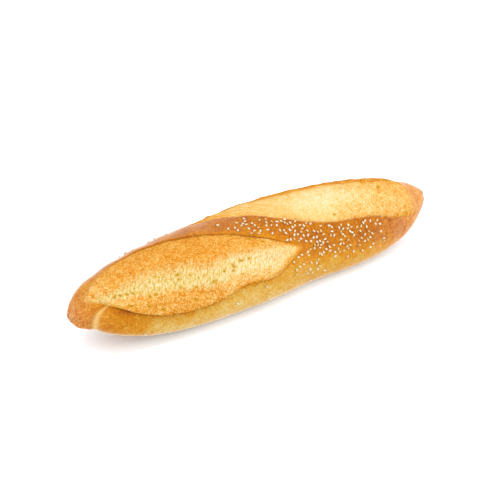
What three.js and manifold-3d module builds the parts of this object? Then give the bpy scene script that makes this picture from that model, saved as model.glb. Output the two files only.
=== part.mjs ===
// A semolina loaf: long, tapered to both ends and flat underneath. Two slanting slashes burst open in
// the oven, and sesame seeds are baked onto the strip of crust, the band, between the two bursts.
// Millimetres, +Z up. The loaf lies along X with its front towards -Y, and the origin is on the sole
// under its middle. An angle round the loaf is 0 at the back, 90 on top, 180 in front and 270 below.

import * as THREE from 'three';
import { mergeVertices } from 'three/addons/utils/BufferGeometryUtils.js';
import loadManifold from 'manifold-3d';

const { clamp, degToRad, lerp, smoothstep } = THREE.MathUtils;

// The whole loaf
const LENGTH = 360;
const WIDTH = 90.6;
const HEIGHT = 69.4;
const TIP_HEIGHT = 37;
const BELLY_SHARE = 0.42;        // height of the widest line, as a share of the section's height
const BOW = 9.4;                 // how far both ends curve to the front
const SOLE_SINK = 1.2;           // depth of dough that the baking stone flattened
const PLAN = { left: 2.58, right: 1.78, power: 0.51 };   // how the width falls to the tips
const CROWN = { left: 3.5, right: 2.12, power: 0.42 };   // how the top falls to the tips
const KEEL = { left: 3.73, right: 7.4, power: 1 };      // how the underside rises to the tips
const WAIST = { x: 42, reach: 31, depth: 4.2 };           // the front is drawn in here
const TOP_SQUARENESS = 2.15;     // superellipse exponents: 2 is an ellipse, more is squarer
const SOLE_SQUARENESS = 3.2;
const LUMP = 0.6;                // low, broad unevenness of the upper crust
const LUMP_LENGTHS = [11, 7];    // of its two crossing waves, in millimetres a radian
const LUMP_TURNS = [3, 2];       // of the same waves, in radians a radian round the loaf
const LUMP_FADE = [100, 130];    // degrees from the top over which it dies out

// The two slashes. Each opens from a blunt end to a sharp end along a line that turns round the loaf.
// Its band edge is the one beside the band, and its outer edge the one further down the loaf's side.
const FRONT_SLASH = {
  bluntX: -170.5,
  sharpX: 35,
  middle: 145.6,                 // angle of its line at x 0
  turn: 0.216,                   // degrees that the line turns in a millimetre
  opening: 55.6,                 // half of its widest opening, in degrees
  bluntPower: 0.65,
  sharpPower: 1.27,
  outerSide: 1,                  // its outer edge is at the larger angle
  dome: 1.5,
  furrow: 1.6,
  bends: [                       // degrees by which the outer edge bends round these places
    { x: -150, reach: 14.7, degrees: -4.1 },
    { x: -62, reach: 93.5, degrees: -3.8 },
    { x: -38, reach: 15.3, degrees: -4 },
    { x: 2, reach: 24, degrees: 9.4 },
  ],
  sway: 0,                       // the band edge sways by these degrees
  endX: -170.5,                  // the burst stops here at its blunt end
  endLean: 0,                    // and this much sooner at its outer edge
  endReach: 4,                   // it rises to its full height over this length there
};
const BACK_SLASH = {
  bluntX: 179,
  sharpX: -54.5,
  middle: 66,
  turn: 0.21,
  opening: 68.4,
  bluntPower: 0.177,
  sharpPower: 0.927,
  outerSide: -1,
  dome: 4.2,
  furrow: 0.5,
  bends: [],
  sway: 7.8,
  endX: 163,
  endLean: 14,
  endReach: 14,
};
const SLASHES = [FRONT_SLASH, BACK_SLASH];
const SHUT_STRIP = 4;            // degrees kept either side of a slash's line beyond its ends
const FULLY_BURST = 0.5;         // share of the widest opening at which the relief is full
const SWAY = { x: 42, length: 137 };

// Relief of a burst and of the crust beside it
const FURROW_AT = 0.43;          // place of the pale furrow, from the outer edge to the band
const FURROW_WIDTH = 0.1;
const RIM = 1.1;                 // the burst's outer edge stands over the crust below it
const RIM_REACH = 4;
const FOOT = 1.2;                // the burst dips under the band's lip
const FOOT_REACH = 5;
const LIP = 0.9;                 // the band's edge curls up
const LIP_REACH = 9;
const LIP_RISE = [25, 75];       // distances from the blunt end between which foot and lip grow
const RIM_RISE = [9, 34];        // and rim and crease
const CREASE = 1.5;              // the lower crust sinks in under the rim
const CREASE_REACH = 7;
const WALL = 0.8;                // half width of the steep wall at an edge, in degrees

// The flap at the left end: the front crust stops at a rounded ridge, and the tip beyond lies lower.
// The ridge runs down from the burst and curls towards the tip on its way.
const FLAP = { x: -167.6, topAngle: 145, footAngle: 195, curl: 7.6, curlDegrees: 10.5 };
const FLAP_RIDGE = 1;
const FLAP_REACH = 6;
const TIP_RECESS = 1.6;
const TIP_FADE = 14;             // the recess dies out over this length of the tip
const FLAP_FADE = 30;            // and over these degrees where nothing bounds it

// Below, the tip bulges and the flap's foot is tucked in beside it, between these angles
const FOOT_RISE = [192, 217];
const FOOT_FALL = [235, 268];
const TIP_BULGE = { x: -175.6, reach: 3.4, height: 1.6 };
const FLAP_TUCK = { x: -167.8, edge: 1.5, reach: 16, depth: 1.8 };

// Sesame seeds
const SEED_COUNT = 185;
const SEED_LENGTH = 2.9;
const SEED_WIDTH = 1.75;
const SEED_THICKNESS = 1.5;
const SEED_TAPER = 0.3;
const SEED_LIFTS = [0.2, 0.15, 0.25, 0.1, 0.3];
const LEAST_FACET = 0.008;       // a facet thinner than this can't be made
const SEED_SPACING = 2.5;
const SEED_DROP = 10;            // height from which each seed is dropped onto the crust
const SEED_MARGIN = 2;           // degrees kept clear of a burst
const SEED_START = 20261;
const SEED_RANGE = { x: [-150, 140], angle: [15, 215] };
const SEED_SIDES = 6;
const SEED_RINGS = 2;

// How thickly they lie, as shares of the places tried: a spread along the band, a tail that ran down
// to the front below it, a patch low on the back, and strays all over. Off the band, angles are
// degrees from the back slash's band edge.
const SPREAD = { share: 0.6, rise: [-45, 12], fall: [75, 125], offRise: [0, 2], offFall: [32, 55] };
const TAIL = { share: 0.2, x: 27, reach: 20, offFall: [60, 95] };
const BEHIND = { share: 0.15, x: -60, reach: 35, angle: 28, degrees: 14 };
const STRAYS = 0.004;

// How finely the surface is faceted
const ROWS = 70;
const END_CROWDING = 0.6;        // 0 spaces the rows evenly, 1 crowds them into the tips
const LOWER_STEPS = 8;
const BURST_STEPS = 8;
const BAND_STEPS = 7;
const STEP_ALONG = 0.001;        // of s, and in degrees, for the directions along and round the loaf
const STEP_ROUND = 0.5;

function bell(value, centre, width) {
  return Math.exp(-(((value - centre) / width) ** 2));
}

// Share of the full width or height left at s, which runs from -1 at the left tip to 1 at the right
function taper(s, { left, right, power }) {
  return Math.max(1 - Math.abs(s) ** (s < 0 ? left : right), 0) ** power;
}

// The loaf before it burst: superellipse sections, squarer below the widest line than above it
function smoothLoaf(s, angle) {
  const half = (WIDTH / 2) * taper(s, PLAN);
  const top = lerp(TIP_HEIGHT, HEIGHT, taper(s, CROWN));
  const under = TIP_HEIGHT * (1 - taper(s, KEEL));
  const belly = lerp(under, top, BELLY_SHARE);
  const across = Math.cos(degToRad(angle));
  const upward = Math.sin(degToRad(angle));
  const squareness = upward >= 0 ? TOP_SQUARENESS : SOLE_SQUARENESS;
  const height = upward >= 0 ? top - belly : belly - under;
  const sum = Math.abs(across) ** squareness + Math.abs(upward) ** squareness;
  const reach = sum ** (-1 / squareness);
  const x = (s * LENGTH) / 2;
  const waist = WAIST.depth * bell(x, WAIST.x, WAIST.reach) * Math.max(-reach * across, 0);
  return new THREE.Vector3(
    x,
    half * reach * across - BOW * s ** 2 + waist,
    belly + height * reach * upward - SOLE_SINK,
  );
}

// How far a slash is open at x, from 0 at its ends to 1 where it is widest
function openness(slash, x) {
  const t = clamp((x - slash.bluntX) / (slash.sharpX - slash.bluntX), 0, 1);
  const peak = slash.bluntPower / (slash.bluntPower + slash.sharpPower);
  return (t / peak) ** slash.bluntPower * ((1 - t) / (1 - peak)) ** slash.sharpPower;
}

// How far the slash has burst at x: nothing at its ends, and all of its relief where it is half open
function burstShare(slash, x) {
  return smoothstep(openness(slash, x), 0, FULLY_BURST);
}

// The angles of a slash's two edges at x
function edges(slash, x) {
  const middle = slash.middle + slash.turn * x;
  const half = slash.outerSide * Math.max(slash.opening * openness(slash, x), SHUT_STRIP);
  const bends = slash.bends.map(({ x: place, reach, degrees }) => degrees * bell(x, place, reach));
  const bent = bends.reduce((sum, bend) => sum + bend, 0);
  const sway = Math.cos((2 * Math.PI * (x - SWAY.x)) / SWAY.length);
  return {
    outer: middle + half + burstShare(slash, x) * bent,
    band: middle - half + burstShare(slash, x) * slash.sway * sway,
  };
}

// Distance from the burst's blunt end, across being 0 at its outer edge and 1 at the band
function endDistance(slash, x, across) {
  const inwards = Math.sign(slash.sharpX - slash.bluntX);
  return inwards * (x - slash.endX) - slash.endLean * (1 - across) ** 2;
}

// Height of a burst and of the crust beside it; perDegree is the surface's millimetres in a degree
function burstRelief(slash, x, angle, perDegree) {
  const { outer, band } = edges(slash, x);
  const across = (angle - outer) / (band - outer);
  const width = Math.abs(band - outer) * perDegree;
  const fromOuter = across * width;
  const fromBand = (1 - across) * width;
  const fromEnd = endDistance(slash, x, clamp(across, 0, 1));
  const share = burstShare(slash, x) * smoothstep(fromEnd, 0, slash.endReach);
  const lipShare = smoothstep(Math.abs(x - slash.bluntX), ...LIP_RISE);
  const rimShare = smoothstep(Math.abs(x - slash.bluntX), ...RIM_RISE);
  if (across < 0) {
    return -share * rimShare * CREASE * Math.exp(fromOuter / CREASE_REACH);
  }
  if (across > 1) {
    return share * lipShare * LIP * Math.exp(fromBand / LIP_REACH);
  }
  const swell = slash.dome * 4 * across * (1 - across);
  const furrow = slash.furrow * bell(across, FURROW_AT, FURROW_WIDTH);
  const rim = rimShare * RIM * Math.exp(-fromOuter / RIM_REACH);
  const foot = lipShare * FOOT * Math.exp(-fromBand / FOOT_REACH);
  return share * (swell - furrow + rim - foot);
}

// The flap's ridge and the tip that lies lower beyond it, both below the front burst
function flapRelief(x, angle) {
  const fromEdge = x - FLAP.x - FLAP.curl * Math.exp((FLAP.topAngle - angle) / FLAP.curlDegrees);
  const fromTip = x + LENGTH / 2;
  const { outer } = edges(FRONT_SLASH, x);
  const fade = lerp(FLAP_FADE, WALL, smoothstep(x - FRONT_SLASH.bluntX, ...RIM_RISE));
  const below = smoothstep(angle, outer - fade, outer + fade);
  const above = 1 - smoothstep(angle, FLAP.footAngle, FLAP.footAngle + FLAP_FADE);
  const ridge = FLAP_RIDGE * Math.exp(-Math.max(fromEdge, 0) / FLAP_REACH);
  const sunk = smoothstep(-fromEdge, 0, FLAP_REACH / 2) * smoothstep(fromTip, 0, TIP_FADE);
  return below * above * lerp(ridge, -TIP_RECESS, sunk);
}

// The underside of the left end, which shows as a notch between the tip and the flap
function footRelief(x, angle) {
  const fromEdge = x - FLAP_TUCK.x;
  const bulge = TIP_BULGE.height * bell(x, TIP_BULGE.x, TIP_BULGE.reach);
  const fading = Math.exp(-Math.max(fromEdge, 0) / FLAP_TUCK.reach);
  const tuck = FLAP_TUCK.depth * smoothstep(fromEdge, -FLAP_TUCK.edge, FLAP_TUCK.edge) * fading;
  const below = smoothstep(angle, ...FOOT_RISE) * (1 - smoothstep(angle, ...FOOT_FALL));
  return below * (bulge - tuck);
}

function lumps(x, angle) {
  const upper = 1 - smoothstep(Math.abs(angle - 90), ...LUMP_FADE);
  const leaning = Math.sin(x / LUMP_LENGTHS[0] + LUMP_TURNS[0] * degToRad(angle));
  const crossing = Math.cos(x / LUMP_LENGTHS[1] - LUMP_TURNS[1] * degToRad(angle));
  return LUMP * upper * leaning * crossing;
}

// A place on the finished crust, with its outward direction and its direction along the loaf
function crust(s, angle) {
  const inner = clamp(s, 2 * STEP_ALONG - 1, 1 - 2 * STEP_ALONG);
  const along = smoothLoaf(inner + STEP_ALONG, angle).sub(smoothLoaf(inner - STEP_ALONG, angle));
  const round = smoothLoaf(inner, angle + STEP_ROUND).sub(smoothLoaf(inner, angle - STEP_ROUND));
  const outward = new THREE.Vector3().crossVectors(round, along).normalize();
  const x = (s * LENGTH) / 2;
  const perDegree = round.length() / (2 * STEP_ROUND);
  const bursts = SLASHES.map((slash) => burstRelief(slash, x, angle, perDegree));
  const leftEnd = flapRelief(x, angle) + footRelief(x, angle);
  const relief = bursts[0] + bursts[1] + leftEnd + lumps(x, angle);
  const point = smoothLoaf(s, angle).addScaledVector(outward, relief);
  point.z = Math.max(point.z, 0);
  return { point, outward, along: along.normalize() };
}

// The columns of facets follow the slashes' edges, with one steep column at each edge
function ringAngles(x) {
  const front = edges(FRONT_SLASH, x);
  const back = edges(BACK_SLASH, x);
  const stretches = [
    [270, front.outer + WALL, LOWER_STEPS],
    [front.outer - WALL, front.band + WALL, BURST_STEPS],
    [front.band - WALL, back.band + WALL, BAND_STEPS],
    [back.band - WALL, back.outer + WALL, BURST_STEPS],
    [back.outer - WALL, -90, LOWER_STEPS],
  ];
  const angles = stretches.flatMap(([from, to, steps]) =>
    Array.from({ length: steps + 1 }, (_, step) => lerp(from, to, step / steps)),
  );
  return angles.slice(0, -1);
}

function loafGeometry() {
  const rows = Array.from({ length: ROWS - 1 }, (_, row) => {
    const even = (2 * (row + 1)) / ROWS - 1;
    const s = lerp(even, Math.sin((even * Math.PI) / 2), END_CROWDING);
    return ringAngles((s * LENGTH) / 2).map((angle) => crust(s, angle).point);
  });
  const columns = rows[0].length;
  const leftTip = rows.length * columns;
  const rightTip = leftTip + 1;
  const points = [...rows.flat(), smoothLoaf(-1, 0), smoothLoaf(1, 0)];
  const triangles = [];
  for (let column = 0; column < columns; column++) {
    const next = (column + 1) % columns;
    triangles.push(leftTip, column, next);
    for (let row = 0; row < rows.length - 1; row++) {
      const here = row * columns;
      const there = here + columns;
      triangles.push(here + column, there + next, here + next);
      triangles.push(here + column, there + column, there + next);
    }
    const last = (rows.length - 1) * columns;
    triangles.push(rightTip, last + next, last + column);
  }
  const geometry = new THREE.BufferGeometry().setFromPoints(points);
  geometry.setIndex(triangles);
  return geometry;
}

// A repeatable stream of numbers between 0 and 1
function seededDraw(start) {
  const factor = 16807;
  const modulus = 2 ** 31 - 1;
  let state = start;
  return () => {
    state = (state * factor) % modulus;
    return state / modulus;
  };
}

// Share of the seeds tried at a place that stay there: none in a burst
function seedDensity(x, angle) {
  for (const slash of SLASHES) {
    const { outer, band } = edges(slash, x);
    const middle = (outer + band) / 2;
    const half = Math.abs(outer - band) / 2;
    if (burstShare(slash, x) > 0 && Math.abs(angle - middle) < half + SEED_MARGIN) {
      return 0;
    }
  }
  const offBand = angle - edges(BACK_SLASH, x).band;
  const off = smoothstep(offBand, ...SPREAD.offRise);
  const along = smoothstep(x, ...SPREAD.rise) * (1 - smoothstep(x, ...SPREAD.fall));
  const spread = SPREAD.share * along * (1 - smoothstep(offBand, ...SPREAD.offFall));
  const tail = TAIL.share * bell(x, TAIL.x, TAIL.reach) * (1 - smoothstep(offBand, ...TAIL.offFall));
  const behind = BEHIND.share * bell(x, BEHIND.x, BEHIND.reach) * bell(angle, BEHIND.angle, BEHIND.degrees);
  return off * (spread + tail) + behind + STRAYS;
}

function seedPlaces() {
  const draw = seededDraw(SEED_START);
  const places = [];
  while (places.length < SEED_COUNT) {
    const x = lerp(...SEED_RANGE.x, draw());
    const angle = lerp(...SEED_RANGE.angle, draw());
    const heading = 2 * Math.PI * draw();
    if (draw() < seedDensity(x, angle)) {
      const place = { ...crust((2 * x) / LENGTH, angle), heading };
      if (places.every((other) => other.point.distanceTo(place.point) > SEED_SPACING)) {
        places.push(place);
      }
    }
  }
  return places;
}

// Where a seed that falls straight onto the crust meets its facets
function setDown({ point, outward, along, heading }, bareLoaf) {
  const above = point.clone().addScaledVector(outward, SEED_DROP);
  const [hit] = new THREE.Raycaster(above, outward.clone().negate()).intersectObject(bareLoaf);
  return { point: hit.point, outward: hit.face.normal, along, heading };
}

// A seed is a spindle, narrower at one end and half sunk in the crust
function seedGeometry({ point, outward, along, heading }, lift) {
  const level = along.clone().projectOnPlane(outward).normalize();
  const lengthwise = level.applyAxisAngle(outward, heading);
  const sideways = new THREE.Vector3().crossVectors(lengthwise, outward);
  const geometry = new THREE.SphereGeometry(1, SEED_SIDES, SEED_RINGS);
  geometry.deleteAttribute('normal');
  geometry.deleteAttribute('uv');
  const position = geometry.getAttribute('position');
  for (let i = 0; i < position.count; i++) {
    position.setX(i, position.getX(i) * (1 - SEED_TAPER * position.getY(i)));
  }
  geometry.scale(SEED_WIDTH / 2, SEED_LENGTH / 2, SEED_THICKNESS / 2);
  geometry.applyMatrix4(new THREE.Matrix4().makeBasis(sideways, lengthwise, outward));
  geometry.translate(...point.clone().addScaledVector(outward, lift));
  return mergeVertices(geometry);
}

const wasm = await loadManifold();
wasm.setup();

function toSolid(geometry) {
  const vertProperties = new Float32Array(geometry.getAttribute('position').array);
  const triVerts = new Uint32Array(geometry.getIndex().array);
  return new wasm.Manifold(new wasm.Mesh({ numProp: 3, vertProperties, triVerts }));
}

function toGeometry(solid) {
  const { vertProperties, triVerts } = solid.getMesh();
  const geometry = new THREE.BufferGeometry();
  geometry.setAttribute('position', new THREE.BufferAttribute(vertProperties, 3));
  geometry.setIndex(new THREE.BufferAttribute(triVerts, 1));
  geometry.computeVertexNormals();
  return geometry;
}

// Height of the thinnest facet, which shows where a join left a sliver
function thinnestFacet(solid) {
  const { vertProperties, triVerts } = solid.getMesh();
  const corner = (i) => new THREE.Vector3().fromArray(vertProperties, 3 * triVerts[i]);
  let thinnest = Infinity;
  for (let i = 0; i < triVerts.length; i += 3) {
    const facet = new THREE.Triangle(corner(i), corner(i + 1), corner(i + 2));
    const sides = [facet.a.distanceTo(facet.b), facet.b.distanceTo(facet.c), facet.c.distanceTo(facet.a)];
    thinnest = Math.min(thinnest, (2 * facet.getArea()) / Math.max(...sides));
  }
  return thinnest;
}

// Each seed is pressed in until it joins without slivers, and left out if it never does
function seededLoaf() {
  const bareLoaf = new THREE.Mesh(loafGeometry());
  let solid = toSolid(bareLoaf.geometry);
  for (const fallen of seedPlaces()) {
    const place = setDown(fallen, bareLoaf);
    const joined = SEED_LIFTS.map((lift) => solid.add(toSolid(seedGeometry(place, lift))));
    const clean = joined.find((candidate) => thinnestFacet(candidate) > LEAST_FACET);
    solid = clean ?? solid;
  }
  return solid;
}

const crustMaterial = new THREE.MeshStandardMaterial({ color: 0xd9973f, roughness: 0.6, metalness: 0 });
const loaf = new THREE.Mesh(toGeometry(seededLoaf()), crustMaterial);
loaf.name = 'loaf';

const semolinaBread = new THREE.Group();
semolinaBread.add(loaf);

export default semolinaBread;
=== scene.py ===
# %% [markdown]
# # A semolina loaf
#
# The object is a long hearth loaf of yellow semolina dough. The baker cut two slanting slashes into it,
# and in the oven both burst open: the torn dough swelled out of them and baked to a pale, grainy gold,
# while the old skin between and below them browned smooth. Sesame seeds stick to that skin.
#
# This lesson makes the loaf's visible surface from formulas, paints it by how far each place has baked,
# and lays the seeds on it one by one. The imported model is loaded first, because it fixes the frame:
# every piece made here is in the same place and of the same size.

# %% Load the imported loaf
from dataclasses import dataclass
from itertools import islice
from types import SimpleNamespace

import bpy
import numpy as np
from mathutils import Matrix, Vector


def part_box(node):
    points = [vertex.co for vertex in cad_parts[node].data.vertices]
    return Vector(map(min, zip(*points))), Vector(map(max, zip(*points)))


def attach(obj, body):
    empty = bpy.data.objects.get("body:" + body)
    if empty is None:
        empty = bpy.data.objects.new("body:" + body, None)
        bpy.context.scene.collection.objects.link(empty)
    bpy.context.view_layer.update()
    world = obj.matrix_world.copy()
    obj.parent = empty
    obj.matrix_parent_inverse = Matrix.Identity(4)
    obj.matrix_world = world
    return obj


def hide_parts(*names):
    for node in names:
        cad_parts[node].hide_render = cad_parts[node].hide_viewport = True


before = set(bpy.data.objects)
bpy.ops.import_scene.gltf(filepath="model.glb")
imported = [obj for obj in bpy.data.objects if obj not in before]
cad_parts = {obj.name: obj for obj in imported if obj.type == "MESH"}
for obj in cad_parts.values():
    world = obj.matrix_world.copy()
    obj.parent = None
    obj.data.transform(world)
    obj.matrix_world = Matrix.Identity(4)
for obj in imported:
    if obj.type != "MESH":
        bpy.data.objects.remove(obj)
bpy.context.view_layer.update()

# %% [markdown]
# ## Sizes of the loaf
#
# Bread is easier to think about in millimetres, so every size below is in millimetres and every angle
# in degrees. One factor turns them into Blender's metres at the very end. The length is read off the
# packed loaf. The other values say how a plain tapered loaf falls away from its middle.

# %% Sizes of the loaf before it burst
MM = 0.001
lowest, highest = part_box("loaf")
LENGTH = (highest.x - lowest.x) / MM
WIDTH = 90.6
HEIGHT = 69.4
TIP_HEIGHT = 37
BELLY_SHARE = 0.42        # height of the widest line, as a share of the section's height
BOW = 9.4                 # how far both ends curve to the front
SOLE_SINK = 1.2           # depth of dough that the baking stone flattened
PLAN = (2.58, 1.78, 0.51)     # how the width falls to the left tip, to the right tip, and its power
CROWN = (3.5, 2.12, 0.42)     # the same for the top
KEEL = (3.73, 7.4, 1.0)       # the same for the underside
WAIST_X = 42              # the front is drawn in here, over this reach and to this depth
WAIST_REACH = 31
WAIST_DEPTH = 4.2
TOP_SQUARENESS = 2.15     # superellipse exponents: 2 is an ellipse, more is squarer
SOLE_SQUARENESS = 3.2
print(f"the loaf is {LENGTH:.1f} mm long")

# %% [markdown]
# ## The plain loaf
#
# A loaf could be sculpted, or made from a sphere with modifiers. Here it is a function of two
# parameters, because everything else, the slashes, the colours and the seeds, can then be placed by the
# same two numbers: s runs from -1 at the left tip to 1 at the right tip, and the angle runs round the
# loaf, from 0 at the back over 90 on top and 180 in front to 270 underneath.

# %% Shaping helpers
def smoothstep(value, start, end):
    """0 before start, 1 after end, and an S-shaped cubic from one to the other between them."""
    share = np.clip((value - start) / (end - start), 0, 1)
    return share * share * (3 - 2 * share)


def bell(value, centre, width):
    """A bump of height 1 round centre: e to the power of minus the squared distance in widths."""
    return np.exp(-(((value - centre) / width) ** 2))


def fading(distance, reach):
    """1 where the distance is 0 or less, and e times smaller with every further reach."""
    return np.exp(-np.maximum(distance, 0) / reach)


def blend(first, second, share):
    """first where share is 0, second where it is 1, and in proportion between."""
    return first + (second - first) * share


def by_stops(value, stops):
    """Straight lines through stops, each a place and the value there."""
    places, values = zip(*stops)
    return np.interp(value, places, values)


TOP_ANGLE = 90
SOLE_ANGLE = 270


def from_top(angle):
    """Degrees from the top of the loaf, to the back or to the front."""
    return np.abs(angle - TOP_ANGLE)


print("halfway up a smooth step:", smoothstep(0.5, 0, 1))

# %% The plain loaf and its directions
def taper(s, shape):
    """What is left of the full width or height at s: (1 - |s| to the left or right exponent) to a power."""
    left, right, power = shape
    return np.maximum(1 - np.abs(s) ** np.where(s < 0, left, right), 0) ** power


def plain_loaf(s, angle):
    """Superellipse sections: the radius at an angle is (|cos|^n + |sin|^n)^(-1/n), stretched to the loaf's
    half width and to its height above or below the belly line, bowed to the front by s squared and
    drawn in at the waist."""
    half = WIDTH / 2 * taper(s, PLAN)
    top = blend(TIP_HEIGHT, HEIGHT, taper(s, CROWN))
    under = TIP_HEIGHT * (1 - taper(s, KEEL))
    belly = blend(under, top, BELLY_SHARE)
    across = np.cos(np.radians(angle))
    upward = np.sin(np.radians(angle))
    squareness = np.where(upward >= 0, TOP_SQUARENESS, SOLE_SQUARENESS)
    height = np.where(upward >= 0, top - belly, belly - under)
    reach = (np.abs(across) ** squareness + np.abs(upward) ** squareness) ** (-1 / squareness)
    x = s * LENGTH / 2
    waist = WAIST_DEPTH * bell(x, WAIST_X, WAIST_REACH) * np.maximum(-reach * across, 0)
    y = half * reach * across - BOW * s**2 + waist
    z = belly + height * reach * upward - SOLE_SINK
    return np.stack(np.broadcast_arrays(x, y, z), axis=-1)


STEP_ALONG = 0.001        # steps of s and of the angle for the directions along and round the loaf
STEP_ROUND = 0.5


def unit(vectors):
    """Each vector divided by its own length."""
    return vectors / np.linalg.norm(vectors, axis=-1, keepdims=True)


def directions(s, angle):
    """The unit directions along and round the plain loaf and straight out of it, by central differences,
    and the millimetres in a degree round it."""
    inner = np.clip(s, 2 * STEP_ALONG - 1, 1 - 2 * STEP_ALONG)
    along = plain_loaf(inner + STEP_ALONG, angle) - plain_loaf(inner - STEP_ALONG, angle)
    around = plain_loaf(inner, angle + STEP_ROUND) - plain_loaf(inner, angle - STEP_ROUND)
    outward = np.cross(around, along)
    per_degree = np.linalg.norm(around, axis=-1) / (2 * STEP_ROUND)
    return unit(along), unit(around), unit(outward), per_degree


middle_top = plain_loaf(np.array(0.0), np.array(TOP_ANGLE))
print("top of the plain loaf at its middle:", middle_top)

# %% [markdown]
# ## The two slashes
#
# Each slash is a line that turns round the loaf as it runs along it. The oven opened it into a long
# leaf shape: blunt at one end, sharp at the other. Such a leaf is a product of two powers of the way
# along it, and its two edges are angles on either side of the line. The edge beside the seeded strip of
# skin between the slashes, the band, is the band edge. The other one, further down the loaf's side, is
# the outer edge.

# %% The slashes and their edges
@dataclass
class Slash:
    blunt_x: float        # where it starts and ends along the loaf
    sharp_x: float
    middle: float         # angle of its line at x 0
    turn: float           # degrees that the line turns in a millimetre
    opening: float        # half of its widest opening, in degrees
    blunt_power: float    # powers of the leaf shape at its two ends
    sharp_power: float
    outer_side: int       # 1 where the outer edge is at the larger angle, else -1
    dome: float           # how high the burst swells
    furrow: float         # how deep its pale furrow is
    bends: tuple          # place, reach and degrees of each bend in the outer edge
    sway: float           # degrees by which the band edge sways
    end_x: float          # the burst stops here at its blunt end
    end_lean: float       # and this much sooner at its outer edge
    end_reach: float      # it rises to its full height over this length there


FRONT_SLASH = Slash(
    blunt_x=-170.5,
    sharp_x=35,
    middle=145.6,
    turn=0.216,
    opening=55.6,
    blunt_power=0.65,
    sharp_power=1.27,
    outer_side=1,
    dome=1.5,
    furrow=1.6,
    bends=((-150, 14.7, -4.1), (-62, 93.5, -3.8), (-38, 15.3, -4), (2, 24, 9.4)),
    sway=0,
    end_x=-170.5,
    end_lean=0,
    end_reach=4,
)
BACK_SLASH = Slash(
    blunt_x=179,
    sharp_x=-54.5,
    middle=66,
    turn=0.21,
    opening=68.4,
    blunt_power=0.177,
    sharp_power=0.927,
    outer_side=-1,
    dome=4.2,
    furrow=0.5,
    bends=(),
    sway=7.8,
    end_x=163,
    end_lean=14,
    end_reach=14,
)
SLASHES = (FRONT_SLASH, BACK_SLASH)
SHUT_STRIP = 2.5          # degrees kept either side of a slash's line beyond its ends
REOPENING = 0.25          # degrees a millimetre by which that strip widens again past the sharp end
FULLY_BURST = 0.5         # share of the widest opening at which the relief is full
SWAY_X = 42               # a crest of the wave in which a band edge sways, and the wave's length
SWAY_LENGTH = 137
LIP_RISE = (25, 75)       # distances from the blunt end between which foot and lip grow
RIM_RISE = (9, 34)        # and rim and crease


def openness(slash, x):
    """How far a slash is open: t^a (1-t)^b along its length, scaled to 1 where it is widest."""
    t = np.clip((x - slash.blunt_x) / (slash.sharp_x - slash.blunt_x), 0, 1)
    peak = slash.blunt_power / (slash.blunt_power + slash.sharp_power)
    return (t / peak) ** slash.blunt_power * ((1 - t) / (1 - peak)) ** slash.sharp_power


def burst_share(slash, x):
    """How much of its relief a slash has at x: none at its ends, all of it where it is half open."""
    return smoothstep(openness(slash, x), 0, FULLY_BURST)


def edges(slash, x):
    """The angles of a slash's outer and band edges: its line plus and minus the opening, one bent by bells
    and the other swaying in a wave."""
    middle = slash.middle + slash.turn * x
    half = slash.outer_side * np.maximum(slash.opening * openness(slash, x), SHUT_STRIP)
    bent = sum(degrees * bell(x, place, reach) for place, reach, degrees in slash.bends)
    sway = np.cos(2 * np.pi * (x - SWAY_X) / SWAY_LENGTH)
    past_end = np.maximum(np.sign(slash.sharp_x - slash.blunt_x) * (x - slash.sharp_x), 0)
    outer = middle + half + burst_share(slash, x) * bent
    outer = outer + slash.outer_side * REOPENING * past_end
    band = middle - half + burst_share(slash, x) * slash.sway * sway
    return outer, band


for slash in SLASHES:
    widest = np.ptp(np.array(edges(slash, np.linspace(-180, 180, 361))), axis=0).max()
    print(f"a slash from x {slash.blunt_x} to {slash.sharp_x} opens to {widest:.0f} degrees")

# %% [markdown]
# ## Places on a burst
#
# Relief, colour and seeds all ask the same thing of a point: where does it lie on this burst? So one
# function answers that once, as a share of the way across and as distances from both edges.

# %% Where a point lies on a burst
@dataclass
class Place:
    across: np.ndarray        # 0 at the outer edge and 1 at the band, less or more beyond them
    from_outer: np.ndarray    # distances inwards from the two edges, negative outside
    from_band: np.ndarray
    opened: np.ndarray        # how far the burst has opened
    risen: np.ndarray         # and risen from its blunt end
    rimmed: np.ndarray        # how much of the rim at its outer edge there is
    lipped: np.ndarray        # and of the band's lip
    inside: np.ndarray        # whether the point lies between the edges

    @property
    def share(self):
        """How much of the burst's relief there is."""
        return self.opened * self.risen


def burst_place(slash, x, angle, per_degree):
    """The angle between the two edges as a share, and that share times the width as distances."""
    outer, band = edges(slash, x)
    across = (angle - outer) / (band - outer)
    width = np.abs(band - outer) * per_degree
    inwards = np.sign(slash.sharp_x - slash.blunt_x)
    from_end = inwards * (x - slash.end_x) - slash.end_lean * (1 - np.clip(across, 0, 1)) ** 2
    opened = np.broadcast_to(burst_share(slash, x), across.shape)
    risen = smoothstep(from_end, 0, slash.end_reach)
    rimmed, lipped = (smoothstep(np.abs(x - slash.blunt_x), *rise) for rise in (RIM_RISE, LIP_RISE))
    inside = (across >= 0) & (across <= 1)
    return Place(across, across * width, (1 - across) * width, opened, risen, rimmed, lipped, inside)


probe = burst_place(FRONT_SLASH, np.array(-100.0), np.array(150.0), 0.75)
print(f"a point on the front burst lies {probe.from_outer:.0f} mm from its outer edge")

# %% [markdown]
# ## Relief of the bursts
#
# Where the dough tore, the burst swells between its edges. Its outer edge stands over the skin below
# it, which sinks into a crease, and at its other edge it dips under the band's curled lip. All of this
# is a height over the plain loaf, a sum of bells and fading exponentials of the distance from an edge.

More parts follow.
